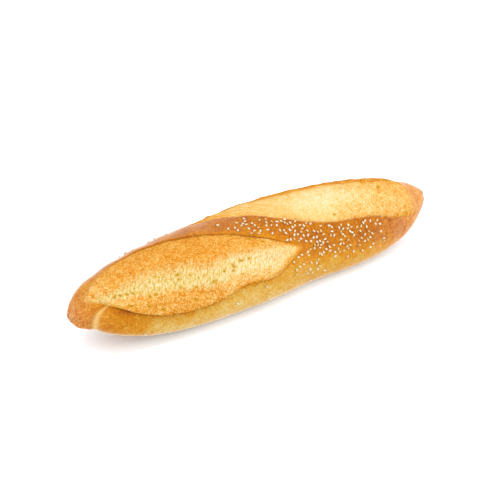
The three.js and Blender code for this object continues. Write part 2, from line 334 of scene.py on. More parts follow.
# %% Heights of the bursts
FURROW_AT = 0.43          # place of the pale furrow, from the outer edge to the band
FURROW_WIDTH = 0.1
RIM = 1.1                 # the burst's outer edge stands over the crust below it
RIM_REACH = 4
FOOT = 1.2                # the burst dips under the band's lip
FOOT_REACH = 5
LIP = 0.9                 # the band's edge curls up
LIP_REACH = 9
CREASE = 1.5              # the lower crust sinks in under the rim
CREASE_REACH = 7


def burst_relief(slash, place):
    """A dome less a furrow, a raised rim and a dipping foot inside; a crease and a lip outside."""
    below = -CREASE * place.rimmed * fading(-place.from_outer, CREASE_REACH)
    above = LIP * place.lipped * fading(-place.from_band, LIP_REACH)
    swell = slash.dome * 4 * place.across * (1 - place.across)
    furrow = slash.furrow * bell(place.across, FURROW_AT, FURROW_WIDTH)
    rim = RIM * place.rimmed * fading(place.from_outer, RIM_REACH)
    foot = FOOT * place.lipped * fading(place.from_band, FOOT_REACH)
    beside = np.where(place.across < 0, below, above)
    return place.share * np.where(place.inside, swell - furrow + rim - foot, beside)


print(f"the lip stands {LIP + FOOT:.1f} mm over the burst's foot")

# %% [markdown]
# At the left end the front crust stops at a rounded ridge, the flap, and the tip beyond it lies lower.
# Under it the tip bulges and the flap's foot is tucked in, which leaves a notch between them. The rest
# of the crust is uneven in low, broad lumps.

# %% Heights of the left end and of the lumps
WALL = 0.8                # half width in degrees over which the flap meets the burst
FLAP_X = -167.6           # place of the ridge
FLAP_TOP = 145            # angles of its top and foot
FLAP_FOOT = 195
FLAP_CURL = 7.6           # how far its top curls away from the tip, and over how many degrees
FLAP_CURL_DEGREES = 10.5
FLAP_RIDGE = 1            # height of the ridge, and how far it fades along the crust
FLAP_REACH = 6
TIP_RECESS = 1.6          # how much lower the tip lies, and the length of tip over which that dies out
TIP_FADE = 14
FLAP_FADE = 30            # degrees over which both die out below, and above where the burst has no rim yet
FOOT_RISE = (192, 217)    # angles between which the tip's bulge and the flap's tuck rise and die out
FOOT_FALL = (235, 268)
BULGE_X = -175.6          # place, reach and height of the tip's bulge
BULGE_REACH = 3.4
BULGE_HEIGHT = 1.6
TUCK_X = -167.8           # where the tuck starts, over what half length, its fading and its depth
TUCK_EDGE = 1.5
TUCK_REACH = 16
TUCK_DEPTH = 1.8
LUMP = 0.6                # height of the lumps
LUMP_LENGTHS = (11, 7)    # of two crossing waves, in millimetres a radian
LUMP_TURNS = (3, 2)       # of the same waves, in radians a radian round the loaf
LUMP_FADE = (100, 130)    # degrees from the top over which they die out


def from_flap(x, angle):
    """Distance along the loaf from the flap's ridge, which curls away from the tip at its top."""
    return x - FLAP_X - FLAP_CURL * np.exp((FLAP_TOP - angle) / FLAP_CURL_DEGREES)


def below_front_burst(x, angle):
    """1 below the front burst and 0 on it, with a border that is soft at the burst's blunt end."""
    outer, _ = edges(FRONT_SLASH, x)
    fade = blend(FLAP_FADE, WALL, smoothstep(x - FRONT_SLASH.blunt_x, *RIM_RISE))
    return smoothstep(angle, outer - fade, outer + fade)


def flap_relief(x, angle):
    """A ridge that fades along the crust on one side, and a recess that fades to the tip on the other."""
    distance = from_flap(x, angle)
    above = 1 - smoothstep(angle, FLAP_FOOT, FLAP_FOOT + FLAP_FADE)
    sunk = smoothstep(-distance, 0, FLAP_REACH / 2) * smoothstep(x + LENGTH / 2, 0, TIP_FADE)
    height = blend(FLAP_RIDGE * fading(distance, FLAP_REACH), -TIP_RECESS, sunk)
    return below_front_burst(x, angle) * above * height


def foot_relief(x, angle):
    """A bell under the tip, less a tuck that fades along the loaf."""
    below = smoothstep(angle, *FOOT_RISE) * (1 - smoothstep(angle, *FOOT_FALL))
    distance = x - TUCK_X
    tuck = TUCK_DEPTH * smoothstep(distance, -TUCK_EDGE, TUCK_EDGE) * fading(distance, TUCK_REACH)
    return below * (BULGE_HEIGHT * bell(x, BULGE_X, BULGE_REACH) - tuck)


def lumps(x, angle):
    """The product of two waves that cross each other, fading out down the sides."""
    upper = 1 - smoothstep(from_top(angle), *LUMP_FADE)
    leaning = np.sin(x / LUMP_LENGTHS[0] + LUMP_TURNS[0] * np.radians(angle))
    crossing = np.cos(x / LUMP_LENGTHS[1] - LUMP_TURNS[1] * np.radians(angle))
    return LUMP * upper * leaning * crossing


def main_relief(x, angle, places):
    """The sum of both bursts, the left end and the lumps, which the solid has too."""
    bursts = sum(burst_relief(slash, place) for slash, place in zip(SLASHES, places))
    return bursts + flap_relief(x, angle) + foot_relief(x, angle) + lumps(x, angle)


print(f"the flap stands {FLAP_RIDGE + TIP_RECESS:.1f} mm over the tip")

# %% [markdown]
# ## The grid of the surface
#
# A regular grid of s and angle would cut across the slashes' edges and blunt them. So the columns
# follow the edges: each stretch between two edges has its own number of columns, and where two
# stretches meet, their last and first columns lie a hair apart and make the steep wall of the lip. The
# columns crowd towards the edges, where the relief is sharpest.

# %% Rows and columns
ROWS = 430
END_CROWDING = 0.5        # 0 spaces the rows evenly, 1 crowds them into the tips
SKIN_CROWDING = 0.75      # the same for the columns of a stretch of skin and its edges
BURST_CROWDING = 0.45     # and for those of a burst
HAIR = 0.06               # half the gap between the two columns at an edge, in degrees
FRONT_COLUMNS = 30
FRONT_BURST_COLUMNS = 74
BAND_COLUMNS = 40
BACK_BURST_COLUMNS = 56
BACK_COLUMNS = 26


def stretch(start, end, steps, crowding):
    """Columns from start to end: even steps moved towards both ends by a sine."""
    even = np.linspace(0, 1, steps + 1)
    crowded = even - crowding * np.sin(2 * np.pi * even) / (2 * np.pi)
    return blend(start[:, None], end[:, None], crowded)


def column_angles(x):
    """The angles of all columns at each x, from the middle of the sole up the front and down the back."""
    front_outer, front_band = edges(FRONT_SLASH, x)
    back_outer, back_band = edges(BACK_SLASH, x)
    sole = np.full_like(x, SOLE_ANGLE)
    pieces = [
        stretch(sole, front_outer + HAIR, FRONT_COLUMNS, SKIN_CROWDING),
        stretch(front_outer - HAIR, front_band + HAIR, FRONT_BURST_COLUMNS, BURST_CROWDING),
        stretch(front_band - HAIR, back_band + HAIR, BAND_COLUMNS, SKIN_CROWDING),
        stretch(back_band - HAIR, back_outer + HAIR, BACK_BURST_COLUMNS, BURST_CROWDING),
        stretch(back_outer - HAIR, sole - 360, BACK_COLUMNS, SKIN_CROWDING),
    ]
    return np.concatenate(pieces, axis=1)[:, :-1]


even_rows = np.linspace(-1, 1, ROWS + 1)[1:-1]
row_s = blend(even_rows, np.sin(even_rows * np.pi / 2), END_CROWDING)
grid_angle = column_angles(row_s * LENGTH / 2)
grid_s = np.broadcast_to(row_s[:, None], grid_angle.shape)
print("rows and columns:", grid_angle.shape)

# %% [markdown]
# ## Noise
#
# Dough is uneven at every scale, and such unevenness is noise: random numbers on a lattice, blended
# smoothly between the lattice's corners. Grain that is wider than the grid is real geometry here, and
# only what is finer is left to the material.

# %% Lattice noise
LATTICE = 64              # corners along each side of the lattice, before it repeats


def lattice_noise(points, size, seed):
    """Noise from -1 to 1 in bumps of about the given size: random numbers on a cubic lattice, blended
    between the eight corners round each point with S-shaped weights."""
    numbers = np.random.default_rng(seed).uniform(-1, 1, (LATTICE,) * 3)
    cell = np.floor(points / size).astype(int)
    share = smoothstep(points / size - cell, 0, 1)
    total = np.zeros(points.shape[:-1])
    for corner in np.ndindex(2, 2, 2):
        i, j, k = np.moveaxis((cell + corner) % LATTICE, -1, 0)
        total += np.prod(np.where(corner, share, 1 - share), axis=-1) * numbers[i, j, k]
    return total


# Size, height and seed of each noise, on the bursts and on the skin
GRAIN = ((14, 0.45, 1), (5.5, 0.4, 2), (2.6, 0.35, 3))
DIMPLES = ((22, 0.3, 4), (7, 0.12, 5))


def layered(points, layers):
    """The sum of several noises, each with its own size, height and seed."""
    return sum(height * lattice_noise(points, size, seed) for size, height, seed in layers)


print("grain sizes in millimetres:", [size for size, _, _ in GRAIN])

# %% [markdown]
# ## The pale strip
#
# Along the middle of the front burst the dough tore last. There it is cream and drawn into short fibres
# that run across the burst, and pits show where the dough came apart, many of them at the strip's lower
# side. The strip's two borders are shares across the burst, given by stops along it, and the fibres
# fray them. A pit is a small bell pressed into the dough, and each has its own place, because there are
# so few of them.

# %% Strip, fibres and pits
STRIP_LOW = (    # x and the share across the burst of the strip's lower border
    (-168, 0.0), (-160, 0.05), (-134, 0.28), (-97, 0.28), (-63, 0.22), (-33, 0.24), (0, 0.24), (20, 0.3),
)
STRIP_HIGH = (    # and of its upper border
    (-168, 0.2), (-160, 0.3), (-127, 0.54), (-89, 0.54), (-58, 0.5), (-26, 0.59), (6, 0.8), (20, 0.9),
)
STRIP_LOW_FADE = (-0.03, 0.03)    # the lower border is sharp
STRIP_HIGH_FADE = (-0.12, 0.07)   # and the upper one soft
FIBRE_SIZES = (1.5, 4.5)  # of the fibres along and across the loaf
FIBRE_HEIGHT = 0.35
FIBRE_SEED = 6
FIBRE_LEAN = 0.47         # how far they lean to the right on their way up
FRAYING = 0.05            # share across the burst by which they fray the strip's borders
FRONT_PITS = (    # x and the share across the burst of each pit: in the strip, below it and above it
    (-147, 0.24), (-142, 0.27), (-137, 0.29), (-132, 0.30), (-120, 0.24), (-115, 0.26), (-91, 0.44),
    (-92, 0.39), (-80, 0.26), (-64, 0.27), (-44, 0.31), (-42, 0.36), (-52, 0.35), (-34, 0.43), (-27, 0.46),
    (-137, 0.09), (-123, 0.11), (-112, 0.07), (-83, 0.12),
    (-54, 0.96), (-30, 0.95), (-17, 0.93), (-8, 0.87),
)
BACK_PITS = ((68, 0.91), (124, 0.63), (43, 0.49))
PIT_LENGTH = 1.3          # half the length of a pit along the loaf, and half its width across it
PIT_WIDTH = 0.9
PIT_DEPTH = 0.9


def fibres(x, place):
    """Noise that is short along the loaf and long across it."""
    leaning = x - FIBRE_LEAN * place.from_outer
    stretched = [leaning / FIBRE_SIZES[0], place.from_outer / FIBRE_SIZES[1], np.zeros_like(x)]
    return lattice_noise(np.stack(stretched, axis=-1), 1, FIBRE_SEED)


def strip_mask(x, place):
    """1 in the strip: a step up at its lower border times a step down at its upper one, both frayed."""
    frayed = place.across + FRAYING * fibres(x, place)
    above_low = smoothstep(frayed - by_stops(x, STRIP_LOW), *STRIP_LOW_FADE)
    above_high = smoothstep(frayed - by_stops(x, STRIP_HIGH), *STRIP_HIGH_FADE)
    return place.inside * place.share * above_low * (1 - above_high)


def pits(x, place, spots):
    """The highest of several bells, one for each spot."""
    width = place.from_outer + place.from_band
    bells = [
        bell(x, at_x, PIT_LENGTH) * bell((place.across - at) * width, 0, PIT_WIDTH)
        for at_x, at in spots
    ]
    return place.inside * np.max(bells, axis=0)


def all_pits(x, places):
    """The pits of both bursts."""
    return sum(pits(x, place, spots) for place, spots in zip(places, (FRONT_PITS, BACK_PITS)))


print(len(FRONT_PITS), "pits in the front burst")

# %% [markdown]
# ## The whole surface
#
# Now the layers are put together: the plain loaf, pushed out by the main relief, rounded at the lips,
# pushed a little sideways there so that each lip hangs over what lies below it, and roughened by the
# grain. Along the way the function notes what the material needs to know about each place.

# %% The surface as a function of s and angle
LIP_ROUNDING = 0.55       # how much the very edge of a lip or rim is rounded off, and over what length
ROUNDING_REACH = 0.9
OVERHANG = 0.5            # how far a lip or rim hangs over what lies below it, and from how far back
OVERHANG_REACH = 1.6
TORN_OPENED = (0, 0.06)   # openings between which skin turns into torn dough
TORN_RISEN = (0, 1)       # and shares of the rise from the blunt end
# And, by x, the distance from the front burst's edges over which it does so
SOFT_EDGE = ((-160, 5), (-140, 2), (-125, 0.01), (-20, 0.01), (5, 3), (30, 8))
SOLE_FADE = (120, 150)    # degrees from the top over which the skin's dimples die out


def lip_overhang(slash, place):
    """What is taken off at a lip or rim to round it, and how far it is pushed over what lies below it."""
    from_edge = np.where(place.inside, place.from_outer, -place.from_band)
    overhanging = place.share * (place.across >= 0) * np.where(place.inside, place.rimmed, place.lipped)
    rounding = overhanging * LIP_ROUNDING * fading(from_edge, ROUNDING_REACH)
    slide = overhanging * slash.outer_side * OVERHANG * fading(from_edge, OVERHANG_REACH)
    return rounding, slide


def torn_mask(x, places):
    """1 on torn dough and 0 on skin, with soft edges at the front burst's two ends."""
    front, back = (
        place.inside * smoothstep(place.opened, *TORN_OPENED) * smoothstep(place.risen, *TORN_RISEN)
        for place in places
    )
    from_edge = np.minimum(places[0].from_outer, places[0].from_band)
    return np.maximum(front * smoothstep(from_edge, 0, by_stops(x, SOFT_EDGE)), back)


def loaf_surface(s, angle):
    """Points of the crust, its outward directions, and where they lie on the two bursts."""
    x = s * LENGTH / 2
    _, around, outward, per_degree = directions(s, angle)
    places = [burst_place(slash, x, angle, per_degree) for slash in SLASHES]
    plain = plain_loaf(s, angle)
    roundings, slides = zip(*(lip_overhang(slash, place) for slash, place in zip(SLASHES, places)))
    torn = torn_mask(x, places)
    front = places[0]
    fine = FIBRE_HEIGHT * strip_mask(x, front) * fibres(x, front) - PIT_DEPTH * all_pits(x, places)
    upper = 1 - smoothstep(from_top(angle), *SOLE_FADE)
    rough = blend(upper * layered(plain, DIMPLES), layered(plain, GRAIN) + fine, torn)
    height = main_relief(x, angle, places) - sum(roundings) + rough
    points = plain + outward * height[..., None] + around * sum(slides)[..., None]
    points[..., 2] = np.maximum(points[..., 2], 0)
    return points, outward, places


grid_x = grid_s * LENGTH / 2
grid_points, _, grid_places = loaf_surface(grid_s, grid_angle)
print("surface from", grid_points.min(axis=(0, 1)), "to", grid_points.max(axis=(0, 1)))

# %% [markdown]
# ## How far each place has baked
#
# A crust's colour is a matter of heat and time: the skin on top baked longest and is caramel, the sides
# are golden, and the dough that tore open last is still the colour of cream. So instead of painting
# colours, this step works out one number for each place, from 0 for cream to 1 for dark brown. Painted
# shade goes into the same number, right under the front rim and at the foot of each burst under the
# band's lip. The material turns that number into a colour later.

# %% Browning of the skin, with painted shade under the rim
# In front the skin browns by degrees off the band, and behind by its turn, the degrees from the top
FRONT_SKIN = ((0, 0.7), (26, 0.66), (40, 0.54), (52, 0.44), (75, 0.34), (110, 0.22))
BACK_SKIN = ((0, 0.62), (60, 0.6), (90, 0.45), (115, 0.3), (140, 0.2))
SOLE_BROWN = 0.55         # the sole, which begins between these turns
SOLE_TURN = (148, 172)
FLAP_BROWN = 0.54         # the flap, which is as brown as this between these places and turns
FLAP_BROWN_X = (-112, -150)
FLAP_BROWN_RISE = (50, 65)
FLAP_BROWN_FALL = (110, 140)
# Both tips, by x, outwards from these distances and down to these turns
TIP_BROWN = ((-180, 0.48), (-168, 0.52), (-130, 0.52), (120, 0.5), (180, 0.42))
TIP_BROWN_X = (125, 170)
TIP_BROWN_FALL = (115, 145)
# Painted shade added right under the front rim, by x, and how far down it reaches
UNDER_RIM_SHADE = ((-160, 0.05), (-140, 0.3), (-120, 0.25), (-60, 0.2), (-30, 0.3), (10, 0.25))
UNDER_RIM_SHADE_REACH = 7


def skin_browning_and_shade(x, angle, front):
    """Stops by the angle, blends to the sole, the flap and the tips, and painted shade under the rim."""
    turn = from_top(angle)
    off_band = angle - edges(BACK_SLASH, x)[1]
    brown = np.where(off_band > 0, by_stops(off_band, FRONT_SKIN), by_stops(turn, BACK_SKIN))
    brown = blend(brown, SOLE_BROWN, smoothstep(turn, *SOLE_TURN))
    low = smoothstep(turn, *FLAP_BROWN_RISE) * (1 - smoothstep(turn, *FLAP_BROWN_FALL))
    low = low * (angle > TOP_ANGLE)
    brown = blend(brown, FLAP_BROWN, low * smoothstep(x, *FLAP_BROWN_X))
    near_tip = smoothstep(np.abs(x), *TIP_BROWN_X) * (1 - smoothstep(turn, *TIP_BROWN_FALL))
    brown = blend(brown, by_stops(x, TIP_BROWN), near_tip)
    under_rim_shade = front.share * (front.across < 0) * fading(-front.from_outer, UNDER_RIM_SHADE_REACH)
    return brown + by_stops(x, UNDER_RIM_SHADE) * under_rim_shade


print("browning of the skin from the band down:", [brown for _, brown in FRONT_SKIN])

# %% Browning of the bursts, with painted shade at their feet
# The front burst by x, below and above its strip, which meet between these shares across it
LOWER_BY_X = ((-168, 0.40), (-152, 0.42), (-135, 0.54), (-65, 0.57), (-40, 0.34), (0, 0.32), (30, 0.3))
UPPER_BY_X = ((-168, 0.42), (-152, 0.5), (-130, 0.6), (-60, 0.67), (-25, 0.6), (5, 0.43), (30, 0.29))
UPPER_ACROSS = (0.3, 0.6)
FRONT_RIM = ((-100, 0.12), (-50, 0.15), (-30, 0.5), (5, 0.5), (20, 0.2))    # added at the front rim, by x
FRONT_RIM_REACH = 2.2
# Painted shade at the foot of both bursts, under the band's lip
FOOT_SHADE = 0.14         # added at the foot of both bursts, below the band
FOOT_SHADE_REACH = 2.5
# The back burst by x
BACK_BY_X = ((-54, 0.55), (-20, 0.45), (0, 0.38), (60, 0.33), (100, 0.38), (140, 0.47), (163, 0.47))
BACK_RIM = 0.7            # how brown it is beyond these shares across it, by x
BACK_RIM_ACROSS = (
    (-54, 0.95), (-40, 0.76), (-31, 0.67), (-15, 0.52), (0, 0.46), (70, 0.43), (90, 0.47), (110, 0.52),
    (160, 0.54),
)
BACK_RIM_FADE = (-0.06, 0.06)
PALE_PATCH = 0.2          # taken off in the back burst's palest patch, round this place and this wide
PALE_X = (62, 42)
PALE_ACROSS = (0.68, 0.17)
BLOTCHES = ((13, 0.06, 7),)    # size, strength and seed


def front_browning_and_shade(x, place):
    """Gold by stops along the burst, different below and above the strip, browner at the rim, with painted
    shade at its foot.
    """
    upper = smoothstep(place.across, *UPPER_ACROSS)
    brown = blend(by_stops(x, LOWER_BY_X), by_stops(x, UPPER_BY_X), upper)
    foot = FOOT_SHADE * fading(place.from_band, FOOT_SHADE_REACH)
    return brown + foot + by_stops(x, FRONT_RIM) * fading(place.from_outer, FRONT_RIM_REACH)


def back_browning_and_shade(x, place):
    """Gold by stops along the burst, less a pale patch, browner beyond its crest, with painted shade at its
    foot.
    """
    brown = by_stops(x, BACK_BY_X) - PALE_PATCH * bell(x, *PALE_X) * bell(place.across, *PALE_ACROSS)
    brown = brown + FOOT_SHADE * fading(place.from_band, FOOT_SHADE_REACH)
    beyond = smoothstep(by_stops(x, BACK_RIM_ACROSS) - place.across, *BACK_RIM_FADE)
    return blend(brown, BACK_RIM, beyond)


def browning(x, angle, points, places):
    """The skin's browning, or a burst's where the dough is torn, with soft blotches; both carry painted
    shade.
    """
    front, back = places
    brown = skin_browning_and_shade(x, angle, front)
    torn = torn_mask(x, places)
    brown = blend(brown, front_browning_and_shade(x, front), torn * front.inside)
    brown = blend(brown, back_browning_and_shade(x, back), torn * back.inside)
    return np.clip(brown + layered(points, BLOTCHES), 0, 1)


grid_browning_and_shade = browning(grid_x, grid_angle, grid_points, grid_places)
print("browning from", grid_browning_and_shade.min(), "to", grid_browning_and_shade.max())

# %% [markdown]
# Two kinds of line need a mask of their own, because they are finer than the browning: the painted shade
# in the creases where the crust tucks in under a rim or a lip, and the painted highlight along the crest
# of the flap's ridge. The tips have one too, for a painted rosy sheen: the pinkish whitening that light
# reflects from their skin at a slant.

# %% Painted shade in the creases, the tips' painted sheen and the crest's painted highlight
# Painted shade in the crease under the front rim, by x: its strength and how far down it reaches
RIM_CREASE_SHADE = ((-156, 0), (-148, 0.5), (-130, 1), (-100, 0.9), (-60, 0.9), (-40, 0.7), (16, 0.5))
RIM_CREASE_SHADE_REACH = ((-150, 4.5), (-115, 3), (-60, 1.8))
# Painted shade in the creases under the front lip, by x, and under the back lip, and the reach of both
LIP_CREASE_SHADE = ((-150, 0), (-135, 0.1), (-100, 0.4), (0, 0.4), (16, 0.2))
BACK_CREASE_SHADE = 0.08
LIP_CREASE_SHADE_REACH = 1.0
CREST_HIGHLIGHT_PLACE = (1.6, 2.2)  # how far behind the ridge's edge the crest lies, and half its width
# Painted rosy sheen of the tips by x: the pinkish whitening that light reflects from them at a slant
ROSY_SHEEN_BY_X = ((-180, 0.9), (-174, 0.5), (-162, 0.15), (-150, 0), (100, 0), (145, 0.4), (180, 0.6))


def crease_shade_mask(x, places):
    """Painted shade fading below the front rim and both lips, as strong as the stops along the loaf say."""
    front, back = places
    reach = by_stops(x, RIM_CREASE_SHADE_REACH)
    under_rim_shade = by_stops(x, RIM_CREASE_SHADE) * (front.across < 0) * fading(-front.from_outer, reach)
    under_lip_shade = by_stops(x, LIP_CREASE_SHADE) * front.inside * fading(front.from_band, LIP_CREASE_SHADE_REACH)
    under_back_shade = BACK_CREASE_SHADE * back.inside * fading(back.from_band, LIP_CREASE_SHADE_REACH)
    return np.clip(front.share * (under_rim_shade + under_lip_shade) + back.share * under_back_shade, 0, 1)


def rosy_sheen_mask(x, torn):
    """How much painted rosy sheen the skin has, by stops along the loaf, and 0 on torn dough."""
    return by_stops(x, ROSY_SHEEN_BY_X) * (1 - torn)


def crest_highlight_mask(x, angle):
    """A painted highlight: a bell across the flap's ridge, between its top and its foot."""
    above = 1 - smoothstep(angle, FLAP_FOOT, FLAP_FOOT + FLAP_FADE)
    return bell(from_flap(x, angle), *CREST_HIGHLIGHT_PLACE) * below_front_burst(x, angle) * above


front, back = grid_places
grid_torn = torn_mask(grid_x, grid_places)
masks = {
    "browning": grid_browning_and_shade,
    "torn": grid_torn,
    "strip": strip_mask(grid_x, front),
    "pit": all_pits(grid_x, grid_places),
    "crease": crease_shade_mask(grid_x, grid_places),
    "crest": crest_highlight_mask(grid_x, grid_angle),
    "rosy": rosy_sheen_mask(grid_x, grid_torn),
    "across": np.where(front.inside, front.from_outer, back.from_band),    # distance across a burst
    "back_burst": grid_torn * back.inside,
}
print("masks:", ", ".join(masks))

# %% [markdown]
# ## From arrays to a mesh
#
# Blender takes whole arrays: the points, then the corners of all faces in one long list, then where
# each face starts in that list. The rows close into rings, and each tip is one more point with a fan of
# triangles, so the loaf is one closed skin. The masks go in as attributes of the points, which the
# material can read.

# %% Build the loaf's mesh
def ring_faces(rows, columns):
    """Quads between neighbouring rings of points, and the triangles of the two end fans."""
    row, column = np.meshgrid(np.arange(rows - 1), np.arange(columns), indexing="ij")
    here = row * columns + column
    beside = row * columns + (column + 1) % columns
    quads = np.stack([here, here + columns, beside + columns, beside], axis=-1).reshape(-1, 4)
    first = np.arange(columns)
    second = (first + 1) % columns
    start = np.full(columns, rows * columns)
    last_row = (rows - 1) * columns
    start_fan = np.stack([start, first, second], axis=-1)
    end_fan = np.stack([start + 1, last_row + second, last_row + first], axis=-1)
    return quads, np.concatenate([start_fan, end_fan])


def new_piece(name, points, quads, triangles, attributes):
    """A mesh object at the origin from points in millimetres, with smooth faces and point attributes."""
    mesh = bpy.data.meshes.new(name)
    mesh.vertices.add(len(points))
    mesh.vertices.foreach_set("co", (points * MM).ravel())
    corners = np.concatenate([quads.ravel(), triangles.ravel()])
    sizes = np.concatenate([np.full(len(quads), 4), np.full(len(triangles), 3)])
    mesh.loops.add(len(corners))
    mesh.loops.foreach_set("vertex_index", corners)
    mesh.polygons.add(len(sizes))
    mesh.polygons.foreach_set("loop_start", np.cumsum(sizes) - sizes)
    mesh.update(calc_edges=True)
    mesh.shade_smooth()
    for attribute, values in attributes.items():
        mesh.attributes.new(attribute, "FLOAT", "POINT").data.foreach_set("value", values)
    piece = bpy.data.objects.new(name, mesh)
    bpy.context.scene.collection.objects.link(piece)
    print(name, len(points), "points,", 2 * len(quads) + len(triangles), "triangles")
    return piece


def with_tips(mask):
    """A mask's values in one row, with those of the two tips, which are like the rings next to them."""
    return np.append(mask.ravel(), [mask[0].mean(), mask[-1].mean()])


tips = plain_loaf(np.array([-1.0, 1.0]), np.zeros(2))
loaf_points = np.concatenate([grid_points.reshape(-1, 3), tips])
quads, fans = ring_faces(*grid_s.shape)
point_masks = {name: with_tips(mask) for name, mask in masks.items()}
loaf = new_piece("crust", loaf_points, quads, fans, point_masks)

# %% [markdown]
# ## Sesame seeds
#
# The seeds lie thickest where the band widens, thinner along the rest of it, and a few went astray.
# They are placed by trial: a repeatable stream of numbers proposes places, a density says how many of
# them stay, and one that lands on another is dropped. The solid's seeds come from the same rule and the
# same stream, so they lie in the same places. All seeds are one mesh, because they are all of one kind.

# %% Where the seeds lie
SEED_COUNT = 185
SEED_TRIES = 12000
SEED_SPACING = 2.5
SEED_MARGIN = 2           # degrees kept clear of a burst
SEED_START = 20261
DRAWS = 4                 # numbers drawn for each try: its place, its angle, its heading and its chance
SEED_X = (-150, 140)
SEED_ANGLE = (15, 215)
BAND_START = (0, 2)       # degrees off the band's edge over which the seeds begin
SPREAD = 0.6              # share that stays on the band, between these places and down to these degrees
SPREAD_RISE = (-45, 12)
SPREAD_FALL = (75, 125)
SPREAD_DOWN = (32, 55)
TAIL = 0.2                # the same for the tail below it, round this place
TAIL_X = (27, 20)
TAIL_DOWN = (60, 95)
BEHIND = 0.15             # for the patch on the back, round this place and this angle
BEHIND_X = (-60, 35)
BEHIND_ANGLE = (28, 14)
STRAYS = 0.004            # and everywhere


def draw_stream(start):
    """A repeatable stream between 0 and 1: each number is the last one times a factor, modulo a prime."""
    factor = 16807
    modulus = 2**31 - 1
    state = start
    while True:
        state = state * factor % modulus
        yield state / modulus


def seed_density(x, angle):
    """Share of the seeds tried at a place that stay: a spread along the band, a tail that ran down to the
    front below it, a patch low on the back, strays all over, and none in a burst."""
    off_band = angle - edges(BACK_SLASH, x)[1]
    along = smoothstep(x, *SPREAD_RISE) * (1 - smoothstep(x, *SPREAD_FALL))
    spread = SPREAD * along * (1 - smoothstep(off_band, *SPREAD_DOWN))
    tail = TAIL * bell(x, *TAIL_X) * (1 - smoothstep(off_band, *TAIL_DOWN))
    behind = BEHIND * bell(x, *BEHIND_X) * bell(angle, *BEHIND_ANGLE)
    density = smoothstep(off_band, *BAND_START) * (spread + tail) + behind + STRAYS
    for slash in SLASHES:
        outer, band = edges(slash, x)
        near = np.abs(angle - (outer + band) / 2) < np.abs(outer - band) / 2 + SEED_MARGIN
        density = np.where((burst_share(slash, x) > 0) & near, 0, density)
    return density


def spaced(points, spacing, most):
    """Indices of the points that are further than spacing from every point kept before them."""
    kept = []
    for index, point in enumerate(points):
        if len(kept) == most:
            break
        if not kept or np.linalg.norm(points[kept] - point, axis=-1).min() > spacing:
            kept.append(index)
    return kept


def bare_crust(s, angle):
    """The crust's points by the main relief alone, as the solid has them."""
    _, _, outward, per_degree = directions(s, angle)
    x = s * LENGTH / 2
    places = [burst_place(slash, x, angle, per_degree) for slash in SLASHES]
    return plain_loaf(s, angle) + outward * main_relief(x, angle, places)[:, None]


draws = list(islice(draw_stream(SEED_START), DRAWS * SEED_TRIES))
draw_x, draw_angle, draw_heading, draw_chance = np.array(draws).reshape(SEED_TRIES, DRAWS).T
try_x = blend(*SEED_X, draw_x)
try_angle = blend(*SEED_ANGLE, draw_angle)
stays = draw_chance < seed_density(try_x, try_angle)
stay_s = 2 * try_x[stays] / LENGTH
stay_angle = try_angle[stays]
kept = spaced(bare_crust(stay_s, stay_angle), SEED_SPACING, SEED_COUNT)
seed_s = stay_s[kept]
seed_angle = stay_angle[kept]
seed_heading = 2 * np.pi * draw_heading[stays][kept]
print(len(kept), "seeds placed out of", SEED_TRIES, "tries")

# %% [markdown]
# A sesame seed is a flat drop: rounded at one end and pointed at the other. One seed is a small grid of
# rings along its length, and all seeds come from one multiplication of that grid by each seed's own
# directions.

# %% Build the seeds' mesh
SEED_LENGTH = 2.9
SEED_WIDTH = 1.75
SEED_THICKNESS = 1.5
SEED_TAPER = 0.3          # share by which one end is narrower, and the other wider
SEED_LIFT = 0.45          # how far a seed's middle lies above the crust
SEED_RINGS = 5
SEED_SIDES = 8
TONE_SEED = 21            # starts the random tones of the seeds


def seed_drop():
    """One seed round the origin: rings of radius sin(t) at the length cos(t), narrower to one end."""
    t = np.linspace(0, np.pi, SEED_RINGS + 2)[1:-1, None]
    turn = np.linspace(0, 2 * np.pi, SEED_SIDES, endpoint=False)
    length = np.broadcast_to(-np.cos(t), (SEED_RINGS, SEED_SIDES))
    radius = np.sin(t) * (1 - SEED_TAPER * length)
    rings = np.stack([radius * np.cos(turn), length, radius * np.sin(turn)], axis=-1).reshape(-1, 3)
    ends = np.array([[0, -1, 0], [0, 1, 0]])
    return np.concatenate([rings, ends]) * [SEED_WIDTH / 2, SEED_LENGTH / 2, SEED_THICKNESS / 2]


seed_points, seed_outward, _ = loaf_surface(seed_s, seed_angle)
seed_along = directions(seed_s, seed_angle)[0]
seed_side = np.cross(seed_outward, seed_along)
lengthwise = seed_along * np.cos(seed_heading)[:, None] + seed_side * np.sin(seed_heading)[:, None]
sideways = np.cross(lengthwise, seed_outward)
bases = np.stack([sideways, lengthwise, seed_outward], axis=1)
centres = seed_points + SEED_LIFT * seed_outward
drop = seed_drop()
all_points = (drop @ bases + centres[:, None]).reshape(-1, 3)
drop_quads, drop_fans = ring_faces(SEED_RINGS, SEED_SIDES)
offsets = len(drop) * np.arange(len(centres))[:, None, None]
tones = np.random.default_rng(TONE_SEED).uniform(0, 1, len(centres))
seeds = new_piece(
    "sesame_seeds",
    all_points,
    (drop_quads + offsets).reshape(-1, 4),
    (drop_fans + offsets).reshape(-1, 3),
    {"tone": np.repeat(tones, len(drop))},
)

# %% [markdown]
# ## Shader maths in Python
#
# A material is a graph of nodes, and drawing sums by hand takes a Math node for every sign. A small
# class wraps a socket, so that a sum written in Python adds those nodes by itself, and one method makes
# any other node from its type, its settings and what goes into it.

# %% A socket that can be calculated with
NOISE_DETAIL = 2.0        # finer layers in each noise
# A Mix node has sockets of the same name for every kind of value, so those for colours go by their number
MIX_SHARE = 0
MIX_FIRST = 6
MIX_SECOND = 7
MIX_RESULT = 2


